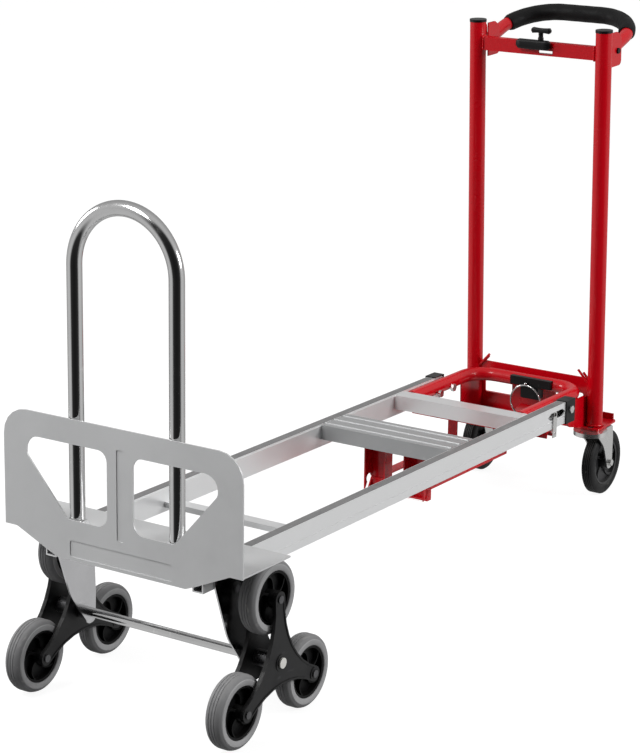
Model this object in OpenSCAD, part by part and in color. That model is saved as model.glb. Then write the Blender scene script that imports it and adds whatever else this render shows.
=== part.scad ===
// Stair climbing trolley in its platform position: an aluminium deck with a toe plate and two
// three-wheel stair clusters at one end, and a red steel handle frame on two casters at the other.
// +X runs from the toe plate to the handle, +Z is up, and the floor is z = 0.

/* [Deck] */
// Slope of the deck down towards the handle
deck_tilt = 2.4; // [0:0.2:4]
// Height of the toe plate's fold above the floor
deck_z = 298; // [290:1:320]
// Length of the rails
rail_len = 1210; // [1150:5:1300]
// Width over both rails
rail_span = 316; // [290:2:340]
// Width of one rail
rail_w = 21; // [16:1:26]
// Height of one rail
rail_h = 42; // [36:1:50]
// Wall of the rails
rail_wall = 2.4; // [1.5:0.1:3]

/* [Rungs] */
// Distance from the fold to the front rung
front_rung_u = 294; // [250:1:400]
// Distance from the fold to the ribbed step
step_u = 775; // [650:1:800]
// Length of the ribbed step along the deck
step_len = 90; // [70:1:110]
// Distance from the fold to the rear rung
rear_rung_u = 1033; // [960:1:1050]
// Length of the rear rung along the deck
rear_rung_len = 37; // [24:1:45]
// Height of the step and the rear rung
rung_h = 28; // [20:1:32]

/* [Toe plate] */
// Width of the toe plate
toe_w = 475; // [440:1:520]
// Height of the toe plate above its fold
toe_h = 195; // [170:1:230]
// Length of the flange that lies on the rails
flange_len = 129; // [100:1:132]
// Thickness of the toe plate
toe_t = 3; // [2:0.5:4]
// Depth of the tab below the fold
tab_h = 41; // [20:1:45]

/* [Toe loop] */
// Height of the loop above its hinge
loop_h = 528; // [400:1:600]
// Distance between the middles of the loop's legs
loop_span = 200; // [160:2:240]
// Diameter of the loop's tube
loop_d = 25.4; // [20:0.2:30]

/* [Stair wheels] */
// Distance from the toe plate to the main axle
axle_x = 110; // [108:1:125]
// Diameter of the main axle
axle_d = 16; // [12:1:20]
// Distance from the main axle to each wheel pin
cluster_r = 108; // [100:1:110]
// Diameter of a stair wheel
wheel_d = 123; // [110:1:125]
// Width of a stair wheel's tyre
wheel_w = 32; // [24:1:36]
// Distance from the middle plane to a stair wheel's middle
wheel_y = 203.6; // [200:0.2:212]
// Diameter of the wheel pins
pin_d = 10; // [8:1:12]

/* [Handle frame] */
// Distance the posts stand past the length of the rails
post_past = 135.5; // [130:0.5:190]
// Distance from the toe plate to the posts
post_x = rail_len + post_past;
// Distance between the middles of the posts
post_span = 278; // [260:1:290]
// Diameter of a post
post_d = 32; // [28:1:36]
// Height of the posts' tops above the floor
post_top = 940; // [800:5:1100]
// Diameter of the U tube that joins the deck
u_tube_d = 27; // [22:1:28]
// Depth of the bow handle
bow_depth = 145; // [100:1:180]
// Slope of the bow handle up and back
bow_slope = 16.6; // [0:0.2:40]
// Diameter of the bow handle's tube
bow_d = 25; // [20:1:28]
// Diameter of the foam grip
foam_d = 34; // [30:1:38]
// Distance from the posts' plane to the foam grip's ends
foam_start = 70; // [60:1:80]

/* [Casters] */
// Diameter of a caster wheel
caster_d = 132; // [120:1:134]
// Width of a caster wheel
caster_w = 26; // [20:1:32]
// Distance the caster wheel trails behind its swivel
caster_trail = 50; // [30:1:52]
// Height of the base plate's top above the floor
base_z = 151; // [148:1:160]

/* [Fits] */
// Radial clearance of a turning bore
run_gap = 0.06; // [0.02:0.01:0.1]
// Gap between faces that move past each other
side_gap = 0.6; // [0.4:0.1:1]
// Gap between faces of pieces that are fixed together
seat_gap = 0.05; // [0.02:0.01:0.1]

/* [Hidden] */

fine = 64;
red = [0.75, 0.02, 0.05];
alloy = [0.78, 0.79, 0.8];
bright = [0.85, 0.85, 0.87];
dark = [0.07, 0.07, 0.08];

// Deck: u runs along the rails from the toe plate, w is square to the deck
rail_top = -toe_t;
rail_start = toe_t + 3;
rail_end = rail_start + rail_len;
rail_out = rail_span / 2;
rail_in = rail_out - rail_w;
function deck_line(x, w) = deck_z + w / cos(deck_tilt) - x * tan(deck_tilt);
function deck_x(u, w) = u * cos(deck_tilt) + w * sin(deck_tilt);
function deck_up(u, w) = deck_z - u * sin(deck_tilt) + w * cos(deck_tilt);

// Toe plate
toe_r = 46;
bead_depth = 1.4;
bead_half = 9;

// Toe loop hinge
loop_pivot_w = loop_d / 2 + 1.6;
loop_pivot_u = toe_t + loop_d / 2 + 1.3;
loop_pin_d = 8;
lug_t = 3;
lug_gap = 0.8;

// Stair clusters
axle_z = cluster_r / 2 + wheel_d / 2;
hub_r = wheel_d / 2 - 17.5;
spider_t = 7;
hub_half = wheel_w / 2 + 3;
inner_plate_y = wheel_y - hub_half - side_gap;
outer_plate_y = wheel_y + hub_half + side_gap;
pin_head = 2;
sleeve_r = 14;
bracket_t = 3;
bracket_y = rail_out + seat_gap;
axle_half = outer_plate_y + spider_t + side_gap;
axle_cap = 3;
function pin_at(i) = [cluster_r * cos(90 + 120 * i), cluster_r * sin(90 + 120 * i)];

// Handle frame
pivot_u = rail_end - 13;
pivot_w = -20;
pivot_r = 5;
lock_u = pivot_u - 54;
lock_r = 4;
lock_tip = 0.3;
leg_gap = 1.5;
u_half = rail_in - leg_gap - u_tube_d / 2;
u_tube_w = -14;
u_front = rear_rung_u + rear_rung_len + 2;
u_cross = pivot_u + 117;
u_bend = 50;
tube_wall = 2;
plate_t = 4;
base_front = post_x - 25.5;
base_rear = post_x + 54.5;
base_half = 160;
back_top = 247;
post_y = post_span / 2;
bar_bottom = post_top - 54;
bar_h = 26;
bar_d = 16;
bow_x = post_x + 36.5;
bow_z = post_top - 38.7;
bow_half = post_y - 4;
bow_bend = 92;
latch_y = 6;
ring_y = -16;
ring_off = 8;
ring_r = 34;
ring_wire = 1.6;

// Casters
swivel_x = post_x - 17.5;
swivel_y = post_y;
caster_z = caster_d / 2;
fork_t = 3;
fork_half = caster_w / 2 + 3.5;
head_r = 34;
kingpin_r = 6;

// The origin is under the middle of the whole object
front_x = axle_x - cluster_r * cos(30) - wheel_d / 2;
rear_x = bow_x + bow_depth * cos(bow_slope) + foam_d / 2;
shift_x = -(front_x + rear_x) / 2;

module place() translate([shift_x, 0, 0]) children();
module deck() place() translate([0, 0, deck_z]) rotate([0, deck_tilt, 0]) children();
module both() for (s = [-1, 1]) scale_y(s) children();
module scale_y(s) mirror([0, s < 0 ? 1 : 0, 0]) children();

// A polygon whose corners are rounded: pts go round anticlockwise, rs gives each corner's radius
function unit(v) = v / norm(v);
function corner(p, a, b, r, n) =
    let (ua = unit(a - p), ub = unit(b - p), half = acos(ua * ub) / 2,
         c = p + unit(ua + ub) * r / sin(half), s = p + ua * r / tan(half) - c,
         e = p + ub * r / tan(half) - c, a0 = atan2(s[1], s[0]),
         d = atan2(s[0] * e[1] - s[1] * e[0], s * e))
    [for (i = [0:n]) c + r * [cos(a0 + d * i / n), sin(a0 + d * i / n)]];
function rounded(pts, rs, n = 5) =
    let (m = len(pts))
    [for (i = [0:m - 1])
        each (rs[i] > 0 ? corner(pts[i], pts[(i + m - 1) % m], pts[(i + 1) % m], rs[i], n) : [pts[i]])];
function mirrored(pts) = [for (i = [len(pts) - 1:-1:0]) [-pts[i][0], pts[i][1]]];

// A rod or a hole along Y, from y0 to y1, at x and z
module rod_y(x, z, r, y0, y1) translate([x, y0, z]) rotate([-90, 0, 0]) cylinder(r = r, h = y1 - y0, $fn = fine);

// A hexagonal nut or head along Y
module hex_y(x, z, r, y0, y1) translate([x, y0, z]) rotate([-90, 0, 0]) cylinder(r = r, h = y1 - y0, $fn = 6);

// A flat plate drawn in X and Z, from y0 to y1
module plate_y(pts, y0, y1) translate([0, y1, 0]) rotate([90, 0, 0]) linear_extrude(y1 - y0) polygon(pts);

// A bar or tube bent to a U: legs along +X, half apart on each side, joined at reach
module tube_ring(r, bore) difference() {
    circle(r = r, $fn = fine);
    if (bore > 0) circle(r = bore, $fn = fine);
}
module u_bar(start, reach, half, bend, r, bore = 0) {
    for (s = [-1, 1]) {
        translate([start, s * half, 0]) rotate([0, 90, 0])
            linear_extrude(reach - bend - start) tube_ring(r, bore);
        translate([reach - bend, s * (half - bend), 0]) rotate([0, 0, s > 0 ? 0 : -90])
            rotate_extrude(angle = 90, $fn = 96) translate([bend, 0]) tube_ring(r, bore);
    }
    if (half > bend)
        translate([reach, bend - half, 0]) rotate([-90, 0, 0])
            linear_extrude(2 * (half - bend)) tube_ring(r, bore);
}

// Deck

rail_slot = [[lock_u - 33, pivot_w], [lock_u - 21, pivot_w - 7], [lock_u + 24, pivot_w - 7],
    [lock_u + 36, pivot_w], [lock_u + 24, pivot_w + 7], [lock_u - 21, pivot_w + 7]];

module rail_profile() {
    groove_w = rail_top - rail_h * 0.66;
    difference() {
        polygon([[rail_in, rail_top - rail_h], [rail_out, rail_top - rail_h],
            [rail_out, groove_w - 1], [rail_out - 1, groove_w - 0.4], [rail_out - 1, groove_w + 0.4],
            [rail_out, groove_w + 1], [rail_out, rail_top], [rail_in + 2, rail_top],
            [rail_in + 2, rail_top - 1.6], [rail_in, rail_top - 2.4]]);
        translate([rail_in + rail_wall, rail_top - rail_h + rail_wall])
            square([rail_w - 2 * rail_wall, rail_h - 2 * rail_wall - 1]);
    }
}

// One rail, drawn on the left side
module rail(s) color(alloy) deck() scale_y(s) difference() {
    translate([rail_start, 0, 0]) rotate([90, 0, 90]) linear_extrude(rail_len) rail_profile();
    rod_y(pivot_u, pivot_w, pivot_r + run_gap, rail_in - 1, rail_out + 1);
    rod_y(lock_u, pivot_w, lock_r + 0.4, rail_in - 1, rail_in + 6);
    plate_y(rail_slot, rail_out - 6, rail_out + 1);
}
module rail_left() rail(1);
module rail_right() rail(-1);

rung_end = rail_in - seat_gap;
rung_wall = 2.5;

module front_rung() color(alloy) deck() difference() {
    translate([front_rung_u, -rung_end, rail_top - 34]) cube([24, 2 * rung_end, 10]);
    translate([front_rung_u + 2, -rung_end - 1, rail_top - 32]) cube([20, 2 * rung_end + 2, 6]);
}

// A rung: a channel with its open side down, and three ribs where it is a step
module channel_rung(u, l, ribs) difference() {
    union() {
        translate([u, -rung_end, rail_top - rung_h]) cube([l, 2 * rung_end, rung_h]);
        for (i = [0:ribs - 1])
            translate([u + l * (i + 0.5) / ribs, 0, rail_top - 0.5]) rotate([90, 0, 0])
                translate([0, 0, -rung_end]) cylinder(r = 3, h = 2 * rung_end, $fn = 24);
    }
    translate([u + rung_wall, -rung_end - 1, rail_top - rung_h - 1])
        cube([l - 2 * rung_wall, 2 * rung_end + 2, rung_h - 2 * rung_wall + 1]);
}
module ribbed_step() color(alloy) deck() channel_rung(step_u, step_len, 3);
module rear_rung() color(alloy) deck() channel_rung(rear_rung_u, rear_rung_len, 0);

// Toe plate

toe_outline = rounded(
    [[-toe_w / 2, -4], [-213, -4], [-146, 7 - tab_h], [-128, -tab_h], [128, -tab_h], [146, 7 - tab_h],
        [213, -4], [toe_w / 2, -4], [toe_w / 2, toe_h], [-toe_w / 2, toe_h]],
    [0, 12, 10, 4, 4, 10, 12, 0, toe_r, toe_r]);
toe_cut = rounded([[26, 27], [107, 27], [190, 122], [190, 154], [26, 154]], [20, 7, 14, 24, 18]);

module toe_sheet(pts, t) rotate([90, 0, 90]) linear_extrude(t) polygon(pts);
function box_pts(y0, y1, w0, w1, r) = rounded([[y0, w0], [y1, w0], [y1, w1], [y0, w1]], [r, r, r, r]);
bead_mid = box_pts(-bead_half, bead_half, 8, 163, 4);
bead_low = box_pts(-105, 105, 4 - tab_h, -5, 6);

module toe_plate() color([0.66, 0.67, 0.68]) deck() {
    difference() {
        union() {
            toe_sheet(toe_outline, toe_t);
            for (b = [bead_mid, bead_low])
                translate([toe_t - 0.5, 0, 0]) toe_sheet(b, bead_depth + 0.5);
            translate([toe_t - 1, -toe_w / 2, -toe_t]) cube([flange_len - toe_t + 1, toe_w, toe_t]);
        }
        for (c = [toe_cut, mirrored(toe_cut)])
            translate([-1, 0, 0]) toe_sheet(c, toe_t + 4);
        translate([-1, 0, 0]) toe_sheet(box_pts(2 - bead_half, bead_half - 2, 10, 161, 3), 1 + bead_depth);
        translate([-1, 0, 0]) toe_sheet(box_pts(-103, 103, 6 - tab_h, -7, 5), 1 + bead_depth);
    }
}

// Toe loop and its hinge

lug_w = loop_d / 2 + lug_gap;
lug_pts = rounded([[loop_pivot_u - 10, 0], [loop_pivot_u + 16, 0], [loop_pivot_u + 9, loop_pivot_w + 10],
    [loop_pivot_u - 9, loop_pivot_w + 10]], [0, 0, 8, 8]);

module loop_lugs() color(alloy) deck() for (s = [-1, 1], k = [-1, 1]) {
    y = s * loop_span / 2 + k * (lug_w + lug_t / 2);
    difference() {
        plate_y(lug_pts, y - lug_t / 2, y + lug_t / 2);
        rod_y(loop_pivot_u, loop_pivot_w, loop_pin_d / 2 + seat_gap, y - lug_t, y + lug_t);
    }
}

module loop_pins() color(bright) deck() for (s = [-1, 1]) translate([0, s * loop_span / 2, 0]) {
    rod_y(loop_pivot_u, loop_pivot_w, loop_pin_d / 2, -lug_w - lug_t - 1, lug_w + lug_t + 1);
    for (k = [-1, 1]) {
        y = k * (lug_w + lug_t + seat_gap + 1.5);
        rod_y(loop_pivot_u, loop_pivot_w, loop_pin_d / 2 + 2.5, y - 1.5, y + 1.5);
    }
}

module toe_loop() color(bright) deck() translate([loop_pivot_u, 0, loop_pivot_w]) difference() {
    union() {
        rotate([0, -90, 0]) u_bar(0, loop_h, loop_span / 2, loop_span / 2, loop_d / 2);
        for (s = [-1, 1])
            rod_y(0, 0, loop_d / 2, s * loop_span / 2 - loop_d / 2, s * loop_span / 2 + loop_d / 2);
    }
    rotate([0, -90, 0]) u_bar(loop_d, loop_h, loop_span / 2, loop_span / 2, loop_d / 2 - tube_wall);
    rod_y(0, 0, loop_pin_d / 2 + run_gap, -loop_span, loop_span);
}

// Main axle, brackets and bolts of the deck

bracket_top = rail_top - 0.4;
bracket_pts = rounded(
    [[axle_x - 6, axle_z - 20], [axle_x + 12, axle_z - 19], [axle_x + 16, axle_z + 30],
        [axle_x + 17, deck_line(axle_x + 17, bracket_top)], [24, deck_line(24, bracket_top)],
        [33, deck_line(33, -45)], [axle_x - 48, axle_z + 43]],
    [9, 9, 60, 0, 0, 30, 90]);
bracket_holes = [[52, -24], [104, -24]];

// The plate has a folded edge at the front, which stiffens it
module axle_bracket(s) color([0.55, 0.56, 0.58]) place() scale_y(s) difference() {
    union() {
        plate_y(bracket_pts, bracket_y, bracket_y + bracket_t);
        rod_y(axle_x, axle_z, axle_d / 2 + 6, bracket_y, inner_plate_y - spider_t - 4);
    }
    rod_y(axle_x, axle_z, axle_d / 2 + seat_gap, bracket_y - 1, wheel_y);
    for (h = bracket_holes)
        rod_y(deck_x(h[0], h[1]), deck_up(h[0], h[1]), 4, bracket_y - 1, bracket_y + bracket_t + 1);
}
module axle_bracket_left() axle_bracket(1);
module axle_bracket_right() axle_bracket(-1);

module main_axle() color(bright) place() rod_y(axle_x, axle_z, axle_d / 2, -axle_half, axle_half);

module axle_caps() color([0.92, 0.92, 0.9]) place() both()
    rod_y(axle_x, axle_z, axle_d / 2 + 0.8, axle_half + seat_gap, axle_half + axle_cap);

module deck_bolt(u, w, out, tail) {
    rod_y(u, w, 3.9, tail, out);
    hex_y(u, w, 7, out, out + 5);
}

module deck_bolts() color(bright) deck() both() for (h = bracket_holes)
    deck_bolt(h[0], h[1], bracket_y + bracket_t + seat_gap, rail_out + 0.2);

module rail_end_caps() color(dark) deck() both() difference() {
    translate([rail_end - 30, rail_in + 0.5, rail_top - rail_h - 2])
        cube([35, rail_w + 2, rail_h + 4]);
    translate([rail_end - 31, rail_in - 1, rail_top - rail_h - seat_gap])
        cube([31 + seat_gap, rail_w + 1 + seat_gap, rail_h + 2 * seat_gap]);
    rod_y(pivot_u, pivot_w, pivot_r + 0.4, rail_in, rail_out + 5);
}

// Red under-frame: two legs under the step, two arms and a rear cross bar

leg_in = 20;
leg_out = 66;
leg_u = step_u + 40;
leg_foot = -128;
arm_w = -106;
hanger_u = lock_u - 12;
hanger_drop = 13;
hanger_w = rail_top - rail_h - hanger_drop;

module under_frame() color(red) deck() {
    leg_top = rail_top - 2 * rung_wall - seat_gap;
    both() difference() {
        translate([leg_u, leg_in, leg_foot]) cube([26, leg_out - leg_in, leg_top - leg_foot]);
        translate([leg_u - 1, leg_in + 3, leg_foot + 3])
            cube([24, leg_out - leg_in - 6, leg_top - leg_foot]);
        translate([leg_u - 5, leg_in - 1, leg_foot - 6]) rotate([0, 30, 0]) cube([12, 60, 40]);
        rod_y(leg_u + 14, arm_w, 9, leg_out - 4, leg_out + 1);
    }
    both() translate([leg_u + 26, leg_out - 20, arm_w - 2]) cube([hanger_u - leg_u - 26 - 13, 20, 4]);
    both() translate([hanger_u - 17, leg_out - 20, arm_w - 2]) cube([4, 20, hanger_w - arm_w + 2]);
    difference() {
        translate([hanger_u - 13, -rail_out + 6, hanger_w - 5]) cube([26, 2 * rail_out - 12, 14]);
        translate([hanger_u - 10, -rail_out + 5, hanger_w - 6]) cube([20, 2 * rail_out - 10, 12]);
    }
}

link_y = rail_out + seat_gap;
module under_frame_links() color(bright) deck() both() {
    difference() {
        union() {
            translate([lock_u - 14, link_y, hanger_w - 5]) cube([14, 2, 42]);
            translate([hanger_u - 4, rail_out - 6 + seat_gap, hanger_w + 6]) cube([8, 8, 3]);
        }
        rod_y(lock_u - 7, hanger_w + 4, 3, rail_out - 10, rail_out + 10);
    }
}

module pivot_bolts() color(bright) deck() both() {
    head_y = rail_out + 2.5 + seat_gap;
    rod_y(pivot_u, pivot_w, pivot_r, u_half - u_tube_d / 2 - 5, head_y);
    hex_y(pivot_u, pivot_w, 8, head_y, head_y + 4);
    hex_y(pivot_u, pivot_w, 8, u_half - u_tube_d / 2 - 7, u_half - u_tube_d / 2 - 1);
    rod_y(pivot_u, pivot_w, 9, rail_in - leg_gap + 0.1, rail_in - 0.1);
    difference() {
        rod_y(lock_u, pivot_w, lock_r + 2.6, rail_in + rail_wall, rail_out - 1.5);
        rod_y(lock_u, pivot_w, lock_r + 0.4, rail_in, rail_out);
    }
}

// Stair clusters

// Outline of the three-armed plate, drawn smaller by inset
tip_r = 13;
panel = 1.2;
waist = 38;
concave_d = (cluster_r * cluster_r - (waist - tip_r) * (waist - tip_r)) / (cluster_r - 2 * (waist - tip_r));
function spider_arm(a, inset) =
    let (rc = concave_d - waist + inset, rt = tip_r - inset,
         reach = rc + rt, cc = concave_d * [cos(a + 60), sin(a + 60)], tc = cluster_r * [cos(a), sin(a)],
         d0 = concave_d * [cos(a - 60), sin(a - 60)],
         t0 = atan2(d0[1] - tc[1], d0[0] - tc[0]), t1 = atan2(cc[1] - tc[1], cc[0] - tc[0]),
         turn = (t1 - t0 + 720) % 360,
         nc = concave_d * [cos(a + 60), sin(a + 60)], nt = cluster_r * [cos(a + 120), sin(a + 120)],
         c0 = atan2(tc[1] - nc[1], tc[0] - nc[0]), c1 = atan2(nt[1] - nc[1], nt[0] - nc[0]),
         back = (c0 - c1 + 720) % 360)
    concat([for (i = [0:8]) tc + rt * [cos(t0 + turn * i / 8), sin(t0 + turn * i / 8)]],
        [for (i = [1:7]) nc + rc * [cos(c0 - back * i / 8), sin(c0 - back * i / 8)]]);
function spider_pts(inset) = [for (k = [0:2]) each spider_arm(90 + 120 * k, inset)];

module spider_sheet(inset, y0, y1) translate([axle_x, 0, axle_z]) plate_y(spider_pts(inset), y0, y1);

module at_pins() for (i = [0:2]) translate([pin_at(i)[0], 0, pin_at(i)[1]]) children();

// One plate: the panelled face has a shallow recess inside a raised rim
module spider(s, y0, panel_out) color(dark) place() scale_y(s) {
    y1 = y0 + spider_t;
    r0 = panel_out ? y1 - panel : y0 - 1;
    difference() {
        spider_sheet(0, y0, y1);
        difference() {
            spider_sheet(3, r0, r0 + 1 + panel);
            rod_y(axle_x, axle_z, axle_d / 2 + 6, y0 - 2, y1 + 2);
            translate([axle_x, 0, axle_z]) at_pins() rod_y(0, 0, tip_r - 1.5, y0 - 2, y1 + 2);
        }
        rod_y(axle_x, axle_z, axle_d / 2 + 0.5, y0 - 1, y1 + 1);
        translate([axle_x, 0, axle_z]) at_pins() rod_y(0, 0, pin_d / 2 + seat_gap, y0 - 1, y1 + 1);
    }
}
module spider_outer_left() spider(1, outer_plate_y, true);
module spider_outer_right() spider(-1, outer_plate_y, true);
module spider_inner_left() spider(1, inner_plate_y - spider_t, false);
module spider_inner_right() spider(-1, inner_plate_y - spider_t, false);

// Three wheel pins with their heads, and the sleeve that turns on the main axle
module wheel_pins(s) color(bright) place() scale_y(s) translate([axle_x, 0, axle_z]) {
    low = inner_plate_y - spider_t;
    high = outer_plate_y + spider_t;
    at_pins() {
        rod_y(0, 0, pin_d / 2, low - seat_gap, high + seat_gap);
        rod_y(0, 0, pin_d / 2 + 1.5, low - seat_gap - pin_head, low - seat_gap);
        rod_y(0, 0, pin_d / 2 + 1.5, high + seat_gap, high + seat_gap + pin_head);
    }
    difference() {
        rod_y(0, 0, sleeve_r, inner_plate_y + seat_gap, outer_plate_y - seat_gap);
        rod_y(0, 0, axle_d / 2 + run_gap, 0, outer_plate_y + 1);
    }
}
module wheel_pins_left() wheel_pins(1);
module wheel_pins_right() wheel_pins(-1);

// A tyre, turned from its half section: r_out at the crown, r_in on the rim
module tyre(r_out, r_in, w, shoulder) rotate([-90, 0, 0]) rotate_extrude($fn = 96)
    polygon(rounded([[r_in, -w / 2], [r_out - shoulder, -w / 2], [r_out, -w / 4], [r_out, w / 4],
        [r_out - shoulder, w / 2], [r_in, w / 2]], [1.5, 5, 9, 9, 5, 1.5]));

// A spoked hub: rim, spokes, boss and bore
module spoked_hub(rim_r, w, boss_r, boss_half, bore_r, spokes) difference() {
    union() {
        difference() {
            rod_y(0, 0, rim_r, -w / 2, w / 2);
            rod_y(0, 0, rim_r - 4, -w, w);
        }
        rod_y(0, 0, rim_r - 3, -3, 3);
        rod_y(0, 0, boss_r, -boss_half, boss_half);
        for (k = [0:spokes - 1]) rotate([0, 360 * k / spokes, 0])
            translate([boss_r - 3, -w / 2 + 3, -1.75]) cube([rim_r - boss_r, w - 6, 3.5]);
    }
    rod_y(0, 0, bore_r, -boss_half - 1, boss_half + 1);
}

module at_wheel(s, i) place() scale_y(s)
    translate([axle_x + pin_at(i)[0], wheel_y, axle_z + pin_at(i)[1]]) children();
module stair_tyre(s, i) color([0.5, 0.5, 0.51]) at_wheel(s, i) tyre(wheel_d / 2, hub_r, wheel_w, 6);
module stair_hub(s, i) color(dark) at_wheel(s, i)
    spoked_hub(hub_r - seat_gap, wheel_w - 4, 12, hub_half, pin_d / 2 + run_gap, 5);
module tyre_top_left() stair_tyre(1, 0);
module tyre_front_left() stair_tyre(1, 1);
module tyre_rear_left() stair_tyre(1, 2);
module tyre_top_right() stair_tyre(-1, 0);
module tyre_front_right() stair_tyre(-1, 1);
module tyre_rear_right() stair_tyre(-1, 2);
module hub_top_left() stair_hub(1, 0);
module hub_front_left() stair_hub(1, 1);
module hub_rear_left() stair_hub(1, 2);
module hub_top_right() stair_hub(-1, 0);
module hub_front_right() stair_hub(-1, 1);
module hub_rear_right() stair_hub(-1, 2);

// Handle frame

module u_tube() color(red) deck() difference() {
    translate([0, 0, u_tube_w]) u_bar(u_front, u_cross, u_half, u_bend, u_tube_d / 2, u_tube_d / 2 - tube_wall);
    rod_y(pivot_u, pivot_w, pivot_r + run_gap, -rail_in, rail_in);
    rod_y(lock_u, pivot_w, lock_r + run_gap, -rail_in, rail_in);
}

base_pts = rounded(
    [[base_front, -base_half], [base_rear, -base_half], [base_rear, base_half], [base_front, base_half],
        [base_front, 75], [base_front + 20, 50], [base_front + 20, -50], [base_front, -75]],
    [6, 6, 6, 6, 10, 14, 14, 10]);

module base_plate() color(red) place() difference() {
    union() {
        translate([0, 0, base_z - plate_t]) linear_extrude(plate_t) polygon(base_pts);
        translate([base_rear - 3, -base_half + 6, base_z - 1]) cube([3, 2 * base_half - 12, 13]);
    }
    both() translate([swivel_x, swivel_y, base_z - plate_t - 1]) cylinder(r = kingpin_r + run_gap, h = plate_t + 2, $fn = fine);
}

back_y = post_y - post_d / 2 - seat_gap;
back_arch = rounded([[-48, base_z - 2], [48, base_z - 2], [30, base_z + 18], [-30, base_z + 18]], [0, 0, 12, 12]);
back_window = rounded([[50, 181], [back_y - 10, 181], [back_y - 10, 214], [50, 214]], [4, 4, 4, 4]);

module back_plate() color(red) place() difference() {
    translate([post_x - 2, -back_y, base_z + seat_gap]) cube([3, 2 * back_y, back_top - base_z]);
    for (p = [back_arch, back_window, mirrored(back_window)])
        translate([post_x - 3, 0, 0]) rotate([90, 0, 90]) linear_extrude(5) polygon(p);
}

web_line = u_tube_w - u_tube_d / 2 - 0.3;
web_pts = rounded(
    [[base_front - 60, base_z + 16], [base_front + 2, base_z + seat_gap], [post_x - 18, base_z + seat_gap],
        [post_x - 18, deck_line(post_x - 18, web_line)],
        [base_front - 60, deck_line(base_front - 60, web_line)]],
    [14, 10, 0, 0, 0]);
module corner_webs() color(red) place() both() {
    plate_y(web_pts, u_half - 1.5, u_half + 1.5);
    difference() {
        translate([post_x - 18 + seat_gap, u_half - 1.5, base_z + seat_gap]) cube([14, 3, 60]);
        translate([post_x, post_y, base_z]) cylinder(r = post_d / 2 + seat_gap, h = 80, $fn = fine);
    }
}

// Twin hooks on the inner side of each post, for an elastic strap
module strap_prongs() color(red) place() both() for (p = [[-5, 30], [5, 20]]) {
    difference() {
        translate([post_x + p[0], post_y - post_d / 2 + 3, 236]) rotate([42, 0, 0]) cylinder(r = 2.5, h = p[1] + 6, $fn = 24);
        translate([post_x, post_y, 200]) cylinder(r = post_d / 2 + seat_gap, h = 90, $fn = fine);
    }
}

module post(s) color(red) place() scale_y(s) translate([post_x, post_y, base_z + seat_gap]) difference() {
    cylinder(r = post_d / 2, h = post_top - base_z, $fn = fine);
    translate([0, 0, 4]) cylinder(r = post_d / 2 - tube_wall, h = post_top, $fn = fine);
}
module post_left() post(1);
module post_right() post(-1);

module post_caps() color(dark) place() both() translate([post_x, post_y, post_top + 2 * seat_gap]) {
    cylinder(r = post_d / 2 + 0.8, h = 5, $fn = fine);
    translate([0, 0, -12]) cylinder(r = post_d / 2 - tube_wall - seat_gap, h = 12.5, $fn = fine);
}

bar_front = post_x - bar_d / 2;
module crossbar() color(red) place() difference() {
    translate([bar_front, -post_y, bar_bottom]) cube([bar_d, 2 * post_y, bar_h]);
    translate([bar_front + 2.5, -post_y, bar_bottom + 2.5]) cube([bar_d, 2 * post_y, bar_h - 5]);
    translate([bar_front - 1, -32, bar_bottom + 3]) cube([bar_d, 30, 7]);
    both() translate([post_x, post_y, 0]) cylinder(r = post_d / 2 + seat_gap, h = post_top, $fn = fine);
}

tab_out = bow_half + bow_d / 2 + 0.4;
tab_in = bow_half - bow_d / 2 - 0.4;
tab_pts = rounded([[post_x + 2, post_top - 68], [post_x + 52, post_top - 68], [post_x + 52, post_top - 14],
    [post_x + 34, post_top - 2], [post_x + 2, post_top - 2]], [0, 10, 10, 8, 0]);
module bow_brackets() color(red) place() both() difference() {
    union() {
        plate_y(tab_pts, tab_out, tab_out + 2.5);
        plate_y(tab_pts, tab_in - 2.5, tab_in);
    }
    translate([post_x, post_y, 0]) cylinder(r = post_d / 2 + seat_gap, h = post_top + 10, $fn = fine);
    translate([bar_front - 9, 0, bar_bottom - 20]) cube([bar_d + 9 + seat_gap, tab_in + seat_gap, bar_h + 80]);
    rod_y(bow_x, bow_z, 4 + seat_gap, tab_in - 10, tab_out + 10);
}

module bow_frame() translate([bow_x, 0, bow_z]) rotate([0, -bow_slope, 0]) children();
module bow_handle() color(red) place() difference() {
    bow_frame() u_bar(-10, bow_depth, bow_half, bow_bend, bow_d / 2, bow_d / 2 - tube_wall);
    rod_y(bow_x, bow_z, 4 + seat_gap, -post_span, post_span);
}
module bow_bolts() color(dark) place() both() {
    rod_y(bow_x, bow_z, 4, tab_in - 6, tab_out + 4);
    hex_y(bow_x, bow_z, 6, tab_out + 2.5 + seat_gap, tab_out + 6);
    hex_y(bow_x, bow_z, 6, tab_in - 8, tab_in - 2.5 - seat_gap);
}
module foam_grip() color(dark) place() bow_frame() difference() {
    u_bar(foam_start - 24, bow_depth, bow_half, bow_bend, foam_d / 2, bow_d / 2 + seat_gap);
    translate([foam_start - 30, -bow_half - foam_d, -foam_d]) cube([30, 2 * (bow_half + foam_d), 2 * foam_d]);
}

// Fold lock: housing, pull ring and two lock pins

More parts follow.
